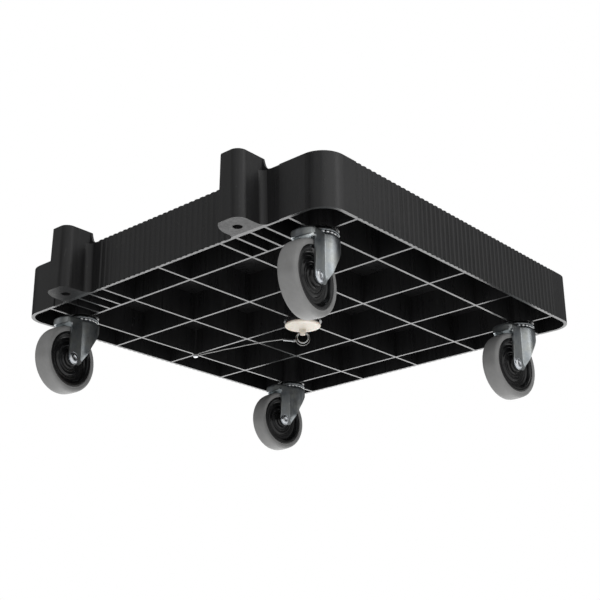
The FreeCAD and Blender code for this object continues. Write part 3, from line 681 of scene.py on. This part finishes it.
def fork_mesh():
    """Outer skin of the drawn sheet fork: columns run down from the stem hole."""
    join = math.atan2(CREASE_START[1], CREASE_START[0])
    crease = math.atan2(CREASE_START[1] - CREASE_CENTRE[1], CREASE_START[0] - CREASE_X)
    tail = math.atan2(CORNER_CENTRE[1], CORNER_CENTRE[0] - TAIL_X)
    columns = [("crown", math.pi + (join - math.pi) * k / 40.0) for k in range(41)]
    columns += [("crease", crease + (-math.pi / 2 - crease) * k / 6.0) for k in range(1, 7)]
    front_count = len(columns)           # columns that run the full height
    leg_x = [float(x) for x in np.linspace(CREASE_X, LEG_END_X, 13)[1:]]
    columns += [("leg", x) for x in leg_x]
    leg_end = len(columns)
    columns += [("leg", x) for x in (33.98, 34.1, 34.27, 34.45)]
    columns += [("corner", math.pi / 2 + (tail - math.pi / 2) * k / 10.0) for k in range(11)]
    columns += [("tail", tail * (1 - k / 8.0)) for k in range(1, 9)]

    front_edge = smooth_curve(FRONT_EDGE, 400)
    tail_edge = smooth_curve(TAIL_EDGE, 200)
    crease_end_z = float(np.interp(CREASE_X, front_edge[:, 0], front_edge[:, 1]))
    skirt_share = (SKIRT_Z - SHOULDER_Z) / (crease_end_z - SHOULDER_Z)

    half = []
    for i, column in enumerate(columns):
        x, y = fork_plan(column)
        top_x, top_y = fork_plan(column, SHOULDER_R)
        reach = math.hypot(top_x, top_y)
        hole_x, hole_y = top_x / reach * STEM_HOLE_R, top_y / reach * STEM_HOLE_R
        points = [(hole_x + (top_x - hole_x) * f, hole_y + (top_y - hole_y) * f, FORK_TOP_Z)
                  for f in TOP_FRACTIONS]
        for k in range(SHOULDER_STEPS + 1):
            angle = math.pi / 2 * (1 - k / SHOULDER_STEPS)
            points.append((*fork_plan(column, SHOULDER_R * (1 - math.cos(angle))),
                           SHOULDER_Z + SHOULDER_R * math.sin(angle)))
        if i < front_count:
            end_z = float(np.interp(x, front_edge[:, 0], front_edge[:, 1]))
            skirt_z = SHOULDER_Z + (end_z - SHOULDER_Z) * skirt_share
        elif i < leg_end:
            skirt_z = SKIRT_Z
        else:
            skirt_z = float(np.interp(x, tail_edge[:, 0], tail_edge[:, 1]))
        points += [(x, y, SHOULDER_Z + (skirt_z - SHOULDER_Z) * f) for f in SKIRT_FRACTIONS]
        skirt_row = len(points) - 1
        if i < front_count:
            for k in range(1, LEG_ROWS + 1):
                z = skirt_z + (end_z - skirt_z) * k / LEG_ROWS
                flat = min(1.0, max(0.0, (FLATTEN_Z - z) / FLATTEN_DEPTH))
                flat = flat * flat * (3 - 2 * flat)
                points.append((x, y + (LEG_Y - y) * flat if y > LEG_Y else y, z))
        half.append(points)

    points, faces, index = [], [], []
    for column in half + [[(x, -y, z) for x, y, z in c] for c in reversed(half[1:-1])]:
        index.append(range(len(points), len(points) + len(column)))
        points += column
    around = len(index)
    for i in range(around):
        a, b = index[i], index[(i + 1) % around]
        for k in range(min(len(a), len(b)) - 1):
            faces.append((a[k], a[k + 1], b[k + 1], b[k]))

    # flat legs below the skirt, between the crease and the +X edge
    grid = leg_grid(leg_x, front_edge, crease_end_z)
    for side in (1, -1):
        skirt = [index[side * (front_count - 1 + k) % around] for k in range(len(leg_x) + 1)]
        above = [column[skirt_row] for column in skirt]
        for r in range(1, LEG_ROWS + 1):
            row = [skirt[0][skirt_row + r]]
            for x, z in grid[r][1:]:
                row.append(len(points))
                points.append((x, side * leg_surface_y(x), z))
            for k in range(len(leg_x)):
                face = (above[k], row[k], row[k + 1], above[k + 1])
                faces.append(face if side > 0 else face[::-1])
            above = row
    return make_mesh("caster_fork", points, faces)


def add_casters():
    """Four casters that share their meshes."""
    tyre_outline = mirrored([(r, across, 0) for r, across in TYRE_HALF])
    fork = fork_mesh()
    hub = lathe("wheel_hub", mirrored(HUB_HALF), 144, sharp=50, centre=AXLE_CENTRE, axis="y")
    tyre = lathe("wheel_tyre", tyre_outline, 160, sharp=60, centre=AXLE_CENTRE, axis="y")
    axle = lathe("axle_pin", AXLE_OUTLINE, 72, sharp=50, centre=AXLE_CENTRE, axis="y")
    race = lathe("race_cup", RACE_OUTLINE, 112, sharp=60)
    stem = lathe("stem_pin", STEM_OUTLINE, 64, sharp=50, steps=3)
    for tag, (name, x_side, y_side, trail_angle) in CASTERS.items():
        pivot = Vector((x_side * CASTER_PITCH + FRAME_X, y_side * CASTER_PITCH, RIM_Z)) * MM
        turn = Matrix.Rotation(math.radians(trail_angle), 4, "Z")
        placement = Matrix.Translation(pivot) @ turn
        fork_body, wheel_body = "%s_fork_body" % name, "%s_wheel_body" % name
        # object suffix, mesh, slot, body, suffix of the loaded piece
        parts = [
            ("fork", fork, "zinc_steel", fork_body, "fork"),
            ("axle", axle, "axle_steel", fork_body, "axle"),
            ("hub", hub, "hub_plastic", wheel_body, "hub"),
            ("tyre", tyre, "tyre_rubber", wheel_body, "tyre"),
            ("race_cup", race, "zinc_steel", "frame", "upper_race"),
            ("stem", stem, "zinc_steel", "frame", "stem"),
        ]
        for part, mesh, slot, body, node in parts:
            obj = piece("%s_%s" % (name, part), mesh, slot, body,
                        "caster_%s_%s" % (tag, node), placement)
            if part == "fork":
                sheet = obj.modifiers.new("sheet", "SOLIDIFY")
                sheet.thickness = SHEET * MM
                sheet.offset = -1.0
                sheet.use_even_offset = True
                sheet.use_quality_normals = True
                add_bevel(obj, width=0.45, segments=3, angle=50)


# -------------------------------------------------------- stopper and lanyard
EYE = Vector((11.6 + FRAME_X, 10.4, RIM_Z - 9.9))    # centre of the cap's eye
RING_DIR = Vector((0.6585, -0.7526, 0.0))            # level direction in the rings' plane
SIDE_DIR = Vector((0.7526, 0.6585, 0.0))             # across the rings
RING_R, LINK_R = 9.6, 7.5
RING_GAP = 0.95                                      # each ring from the eye centre, sideways
RING_CENTRE = Vector((EYE.x, EYE.y, EYE.z + 0.414 - RING_R)) - SIDE_DIR * RING_GAP
LINK_CENTRE = Vector((EYE.x, EYE.y, EYE.z + 0.547 - LINK_R)) + SIDE_DIR * RING_GAP

CAP_Z = RIM_Z - 7.0
# radius, height above CAP_Z, corner radius
CAP_OUTLINE = [
    (0, 0.25, 0), (15.6, 0.25, 0.5), (16.4, 0, 0.5), (22.4, 0, 0.8), (24.0, 0.5, 0.9),
    (24.6, 1.9, 0.8), (24.2, 3.0, 0.5), (23.2, 3.4, 0.4), (7.0, 3.4, 0.3), (7.0, 26.0, 0.8),
    (0, 26.0, 0),
]
PLUG_Z = RIM_Z - 3.6
# radius, height above PLUG_Z, corner radius
PLUG_OUTLINE = [
    (7.03, 0, 0), (20.0, 0, 0.4), (20.6, 0.6, 0.3), (20.6, 6, 0.8), (22.3, 8, 0.7),
    (22.3, 10, 0.7), (20.4, 12, 0.8), (20.2, 17, 0.8), (21.9, 19, 0.7), (21.9, 21, 0.7),
    (20.0, 23, 0.8), (19.0, 25.6, 0.8), (7.03, 25.6, 0),
]
SCREW_Y = 210.0
# radius, height above the rim, corner radius
SCREW_OUTLINE = [
    (0, -4.35, 0), (1.9, -4.3, 0.6), (3.1, -3.85, 0.6), (3.8, -2.9, 0.5), (3.8, -1.9, 0.15),
    (1.6, -1.9, 0.1), (1.6, 11.5, 0.1), (0, 13.8, 0),
]
SLEEVE_START = (RING_CENTRE - RING_DIR * (RING_R - 0.4) - UP * 3.1
                + Vector((-0.4, 2.9, 0.8)))
SLEEVE_END = Vector((3.9 + FRAME_X, 38.5, RIM_Z - 15.6))
LOOP_ANGLE = 0.329                       # where the cord loop holds the ring, radians
# x from the frame centre, y, z from the rim
CORD_RUN = np.array([
    (3.85, 41.6, -14.7), (3.3, 64.0, -11.7), (2.6, 101.0, -8.4), (2.1, 140.0, -5.6),
    (2.2, 178.0, -2.9), (2.6, 200.0, -1.5),
])
CORD_START_Y, CORD_END_Y = 37.0, 200.0
SCREW_LOOP_R, SCREW_LOOP_Z = 2.75, RIM_Z - 1.02
LEAD_CUT_Y = 95.0                        # the lead ends and the run begins here
STRANDS = 3
STEPS_PER_LAY = 12.0                     # cord stations in one turn of the strands


def cap_eye():
    """Round-bottomed block under the cap with a tunnel along RING_DIR."""
    half_length, outer_r, bore_r, top = 3.9, 3.9, 1.95, 3.4
    belly_z, belly_r = 1.7, 5.6          # arc that rounds the bottom along the tunnel
    end_scale, end_lift = 0.93, 4.0      # narrowing of the end faces
    chamfer, mouth_scale = 0.25, 1.12
    around, stations = 64, 15
    turns = [(math.cos(TURN * (k + 0.5) / around), math.sin(TURN * (k + 0.5) / around))
             for k in range(around)]

    def outline(along, scale=1.0):
        floor_z = belly_z - math.sqrt(belly_r ** 2 - along * along)
        shape = []
        for c, s in turns:
            reach = outer_r
            if s >= 0:
                reach = min(outer_r / max(abs(c), 1e-6), top / max(s, 1e-6))
            z = max(reach * s * scale, floor_z + (1 - scale) * end_lift)
            shape.append((reach * c * scale, z))
        return shape

    bore = [(bore_r * c, bore_r * s) for c, s in turns]
    mouth = [(x * mouth_scale, z * mouth_scale) for x, z in bore]
    end = outline(half_length, end_scale)
    inner_half = half_length - chamfer
    sections = [(-half_length, mouth), (-half_length, end)]
    for k in range(stations):
        along = -inner_half + 2 * inner_half * k / (stations - 1.0)
        sections.append((along, outline(along)))
    sections += [(half_length, end), (half_length, mouth), (inner_half, bore),
                 (-inner_half, bore)]
    points = [tuple(EYE + SIDE_DIR * x + UP * z + RING_DIR * along)
              for along, shape in sections for x, z in shape]
    faces = []
    for i in range(len(sections)):
        a, b = i * around, (i + 1) % len(sections) * around
        for k in range(around):
            j = (k + 1) % around
            faces.append((a + k, a + j, b + j, b + k))
    return make_mesh("cap_eye", points, faces, sharp=35)


def add_cap():
    """Cream disc with a rolled rim and a shallow step underneath, and the eye."""
    disc = lathe("cap_disc", CAP_OUTLINE, 128, sharp=60, centre=(FRAME_X, 0, CAP_Z), steps=5)
    cap = piece("stopper_cap_disc", join_meshes("stopper_cap_disc", [disc, cap_eye()]),
                "cap_plastic", "stopper_body", "stopper_cap")
    cap.data.shade_smooth()
    cap.data.set_sharp_from_angle(angle=math.radians(40))
    add_bevel(cap, width=0.25, segments=2, angle=50)


def wire_ring(name, centre, ring_r, stations, wire_r, end_r, sides):
    """Bent wire; stations are (angle in the ring's plane, shift to the side)."""
    path = [centre + RING_DIR * (ring_r * math.cos(angle)) + UP * (ring_r * math.sin(angle))
            + SIDE_DIR * shift for angle, shift in stations]
    radii = [wire_r] * len(path)
    radii[0] = radii[-1] = end_r
    return tube(name, path, radii, sides)


def split_ring():
    """Nearly two turns of wire lying side by side."""
    turns, start, steps = 1.90, -0.9, 170
    crossing, pitch = 14.0, 0.84         # how sharply and how far the wire steps sideways
    stations = [(TURN * turns * k / steps + start,
                 0.5 * math.tanh((k / steps - 0.5) * crossing) * pitch)
                for k in range(steps + 1)]
    return wire_ring("split_ring", RING_CENTRE, RING_R, stations,
                     wire_r=0.43, end_r=0.34, sides=12)


def jump_ring():
    """One turn of round wire with its ends butted together."""
    gap, start, steps, skew = 0.03, -0.35, 96, 0.12
    stations = [(gap + (TURN - 2 * gap) * k / steps + start, skew * (k / steps - 0.5))
                for k in range(steps + 1)]
    return wire_ring("jump_ring", LINK_CENTRE, LINK_R, stations,
                     wire_r=0.75, end_r=0.62, sides=16)


def laid_cord(name, path, rope_r, strand_r, lay, sides):
    """Strands wound round the path, one turn in each lay length."""
    line = np.array([tuple(point) for point in path], float)
    steps = np.linalg.norm(np.diff(line, axis=0), axis=1)
    length = np.concatenate([[0], np.cumsum(steps)])
    count = max(8, int(length[-1] / (lay / STEPS_PER_LAY)))
    at = np.linspace(0, length[-1], count)
    core = [Vector([np.interp(s, length, line[:, axis]) for axis in range(3)]) for s in at]
    tangents = tangents_of(core)
    across = Vector((1, 0, 0)) if abs(tangents[0].x) < 0.8 else UP
    across = (across - tangents[0] * across.dot(tangents[0])).normalized()
    frames = []
    for tangent in tangents:
        across = (across - tangent * across.dot(tangent)).normalized()
        frames.append((across, tangent.cross(across)))
    strands = []
    for number in range(STRANDS):
        strand = []
        for s, centre, (across, other) in zip(at, core, frames):
            angle = TURN * (s / lay + number / STRANDS)
            offset = across * math.cos(angle) + other * math.sin(angle)
            strand.append(centre + offset * (rope_r - strand_r))
        strands.append(tube("%s_%d" % (name, number), strand, [strand_r] * count, sides))
    return join_meshes(name, strands)


def crimp_sleeve():
    """Straight sleeve with two pressed waists and flared ends."""
    radius, waist, flare, spread, steps = 1.62, 0.30, 0.22, 0.05, 48
    path, radii = [], []
    for k in range(steps + 1):
        t = k / steps
        near_waist, near_end = [sum(math.exp(-((t - at) / spread) ** 2) for at in places)
                                for places in ((0.30, 0.66), (0.0, 1.0))]
        path.append(SLEEVE_START + (SLEEVE_END - SLEEVE_START) * t)
        radii.append(radius - waist * near_waist + flare * near_end)
    return tube("crimp_sleeve", path, radii, 20, sharp=60)


def cord_loop():
    """Loop of cord from the sleeve round the split ring."""
    seat, overshoot, half_width, steps = 1.2, 1.12, 0.85, 24
    hold = (RING_CENTRE - RING_DIR * (RING_R * math.cos(LOOP_ANGLE))
            - UP * (RING_R * math.sin(LOOP_ANGLE)))
    axis = (SLEEVE_END - SLEEVE_START).normalized()
    rise = (UP - axis * UP.dot(axis)).normalized()
    root = SLEEVE_START + axis * seat
    reach = hold - SLEEVE_START - axis * seat
    path = []
    for k in range(steps + 1):
        angle = TURN * k / steps
        point = root + reach * (0.5 - 0.5 * math.cos(angle)) * overshoot
        path.append(point + rise * half_width * math.sin(angle))
    return laid_cord("cord_loop", path, rope_r=0.55, strand_r=0.30, lay=2.4, sides=6)


def cord_run():
    """Cord from the sleeve to the screw and round its shank, waving slightly."""
    ys = np.linspace(CORD_START_Y, CORD_END_Y, 60)
    xs = np.interp(ys, CORD_RUN[:, 1], CORD_RUN[:, 0])
    zs = monotone_cubic(CORD_RUN[:, 1], CORD_RUN[:, 2] + RIM_Z, ys)
    path = [Vector((x + FRAME_X + 0.25 * math.sin(y * 0.11), y,
                    z + 0.12 * math.sin(y * 0.17 + 1.0))) for x, y, z in zip(xs, ys, zs)]
    for degrees in range(12, 331, 12):
        angle = math.radians(degrees)
        path.append(Vector((SCREW_LOOP_R * math.cos(angle) + FRAME_X,
                            SCREW_Y + SCREW_LOOP_R * math.sin(angle), SCREW_LOOP_Z)))
    return laid_cord("lanyard_run", path, rope_r=0.70, strand_r=0.385, lay=3.0, sides=7)


def cord_part(name, mesh, keep_start):
    """Keeps the cord on one side of the cut and adds it as an object."""
    mesh.name = name
    bm = bmesh.new()
    bm.from_mesh(mesh)
    bmesh.ops.bisect_plane(bm, geom=bm.verts[:] + bm.edges[:] + bm.faces[:], dist=1e-7,
                           plane_co=(0, LEAD_CUT_Y * MM, 0), plane_no=(0, 1, 0),
                           clear_outer=keep_start, clear_inner=not keep_start)
    bmesh.ops.holes_fill(bm, edges=[e for e in bm.edges if e.is_boundary], sides=0)
    bmesh.ops.recalc_face_normals(bm, faces=bm.faces[:])
    bm.to_mesh(mesh)
    bm.free()
    obj = bpy.data.objects.new(name, mesh)
    scene.collection.objects.link(obj)
    mesh.materials.append(MATERIALS["cord_fibre"])
    return obj


def add_lanyard():
    """Cuts the cord into a lead from the sleeve and a run that hangs on to the screw, in place
    of the loaded cord.
    """
    run_mesh = cord_run()
    lead_mesh = run_mesh.copy()
    # blend points are metres
    lead = cord_part("lanyard_lead", lead_mesh, keep_start=True)
    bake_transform(lead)
    run = cord_part("lanyard_run", run_mesh, keep_start=False)
    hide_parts("lanyard_cord")
    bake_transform(run)


def add_stopper():
    add_cap()
    plug = lathe("stopper_plug", PLUG_OUTLINE, 96, sharp=60, centre=(FRAME_X, 0, PLUG_Z))
    piece("stopper_plug", plug, "seal_rubber", "stopper_body", "stopper_seal")
    piece("split_ring", split_ring(), "ring_steel", "ring_body", "stopper_ring",
          material=MATERIALS["ring_dull"])
    piece("jump_ring", jump_ring(), "ring_steel", "ring_body", "stopper_link")
    piece("crimp_sleeve", crimp_sleeve(), "ring_steel", "ring_body", "lanyard_ferrule")
    piece("cord_loop", cord_loop(), "cord_fibre", "ring_body")
    add_lanyard()
    screw = lathe("anchor_screw", SCREW_OUTLINE, 48, sharp=50,
                  centre=(FRAME_X, SCREW_Y, RIM_Z))
    piece("anchor_screw", screw, "axle_steel", "frame", "lanyard_screw")


# ------------------------------------------------------------ light and stage
# tent radiance by compass direction: degrees from +X, radiance
UPPER_TENT = [
    (-180, 0.26), (-160, 0.42), (-139, 0.44), (-112, 0.37), (-90, 0.40), (-79, 0.44),
    (-75, 1.60), (-70, 1.60), (-66, 0.44), (-56, 0.36), (-49, 0.14), (-37, 0.08),
    (-31, 0.13), (-24, 0.36), (-19, 0.36), (-10, 0.06), (60, 0.05), (100, 0.08),
    (122, 0.30), (139, 0.42), (147, 0.18), (158, 0.05), (170, 0.08), (180, 0.26),
]
LOWER_TENT = [(-180, 0.85), (-90, 0.85), (-20, 0.9), (12, 1.4), (41, 3.1), (70, 1.4),
              (100, 0.8), (180, 0.85)]
ZENITH, NADIR = 0.7, 0.95


def build_world():
    """Tent whose brightness depends on direction; the camera itself sees plain white."""
    world = bpy.data.worlds.new("studio")
    scene.world = world
    world.use_nodes = True
    nodes = Nodes(world.node_tree)
    direction = nodes.node("ShaderNodeTexCoord").outputs["Generated"]
    x, y, z = nodes.node("ShaderNodeSeparateXYZ", {0: direction}).outputs
    azimuth = nodes.math("ARCTAN2", y, x)
    turn = nodes.math("ADD", nodes.math("DIVIDE", azimuth, TURN), 0.5)

    def compass(stops, full):
        """Radiance by azimuth; the ramp holds fractions of the full value."""
        ramp = nodes.ramp(turn, *[((degrees + 180.0) / 360.0, radiance / full)
                                  for degrees, radiance in stops])
        return nodes.times(ramp, full)

    def step(start, end):
        """Smooth 0 to 1 between two heights on the unit sphere."""
        return nodes.node("ShaderNodeMapRange", {
            "Value": z, "From Min": start, "From Max": end,
        }, interpolation_type="SMOOTHSTEP").outputs["Result"]

    def fade(factor, a, b):
        rest = nodes.math("SUBTRACT", 1.0, factor)
        return nodes.math("ADD", nodes.times(a, rest), nodes.times(b, factor))

    upper = compass(UPPER_TENT, full=2.0)
    lower = compass(LOWER_TENT, full=4.0)
    radiance = fade(step(-0.10, 0.10), lower, upper)
    radiance = fade(step(0.55, 0.85), radiance, ZENITH)
    radiance = fade(step(-0.60, -0.85), radiance, NADIR)
    backdrop = nodes.node("ShaderNodeBackground", {0: 1.0, 1: 1.0})
    tent = nodes.node("ShaderNodeBackground", {0: 1.0, 1: radiance})
    mix = nodes.node("ShaderNodeMixShader", {
        0: nodes.node("ShaderNodeLightPath").outputs["Is Camera Ray"],
        1: tent.outputs[0],
        2: backdrop.outputs[0],
    })
    nodes.node("ShaderNodeOutputWorld", {"Surface": mix.outputs[0]})


def floor_paper():
    """White paper, transparent from below."""
    mat = Material("floor_paper")
    cloud = mat.noise(3, detail=4.0, rough=0.6)
    mat.finish({"Base Color": mat.ramp(cloud, (0.3, 0.80), (0.7, 0.84)), "Roughness": 0.7,
                "Normal": mat.bump(mat.noise(400), strength=0.05, distance=0.0005)})
    clear = mat.node("ShaderNodeBsdfTransparent")
    mix = mat.node("ShaderNodeMixShader", {
        0: mat.node("ShaderNodeNewGeometry").outputs["Backfacing"],
        1: mat.principled.outputs[0],
        2: clear.outputs[0],
    })
    mat.link(mix.outputs[0], mat.output.inputs["Surface"])
    return mat.material


def add_floor():
    """Sheet just below z = 0 that only the camera sees."""
    half, drop = 6.0, 0.0002             # metres
    mesh = bpy.data.meshes.new("floor")
    corners = [(-half, -half, 0), (half, -half, 0), (half, half, 0), (-half, half, 0)]
    mesh.from_pydata(corners, [], [(0, 1, 2, 3)])
    obj = bpy.data.objects.new("floor", mesh)
    scene.collection.objects.link(obj)
    obj.location.z = -drop
    mesh.materials.append(floor_paper())
    obj.visible_diffuse = False
    obj.visible_glossy = False
    obj.visible_transmission = False
    obj.visible_shadow = False


def add_side_panel():
    """Soft panel light from the right; metres and watts."""
    light = bpy.data.lights.new("side_panel", "AREA")
    light.shape = "RECTANGLE"
    light.size = 1.1
    light.size_y = 0.45
    light.energy = 0.78
    obj = bpy.data.objects.new("side_panel", light)
    scene.collection.objects.link(obj)
    location, target = (-0.10, -0.72, 0.36), (-0.05, 0.0, 0.16)
    obj.location = location
    aim = Vector(target) - Vector(location)
    obj.rotation_euler = aim.to_track_quat("-Z", "Y").to_euler()


def add_camera():
    """Looks up from below the floor, from the rear right."""
    location = (FRAME_X - 1113.63, -969.78, RIM_Z - 530.565)
    azimuth, elevation, roll = math.radians(41.19), math.radians(20.86), math.radians(-0.48)
    forward = Vector((math.cos(elevation) * math.cos(azimuth),
                      math.cos(elevation) * math.sin(azimuth), math.sin(elevation)))
    level = forward.cross(UP).normalized()
    upright = level.cross(forward)
    right = math.cos(roll) * level + math.sin(roll) * upright
    top = -math.sin(roll) * level + math.cos(roll) * upright
    camera = bpy.data.cameras.new("camera")
    camera.sensor_width = 36.0
    camera.lens = 69.1128
    camera.clip_start = 0.01
    camera.clip_end = 50
    obj = bpy.data.objects.new("camera", camera)
    scene.collection.objects.link(obj)
    rotation = Matrix((right, top, -forward)).transposed().to_4x4()
    obj.matrix_world = Matrix.Translation(Vector([c * MM for c in location])) @ rotation
    scene.camera = obj


# ---------------------------------------------------------------------- build
dress_cad_nodes()
build_world()
add_floor()
add_side_panel()
add_camera()
scene.view_settings.view_transform = "Standard"
scene.view_settings.look = "None"

add_casters()
add_stopper()
# a small radius on the moulded edges of the deck frame
add_bevel(frame["nodes"]["deck_frame"], width=0.55, segments=2, angle=32, harden=False)
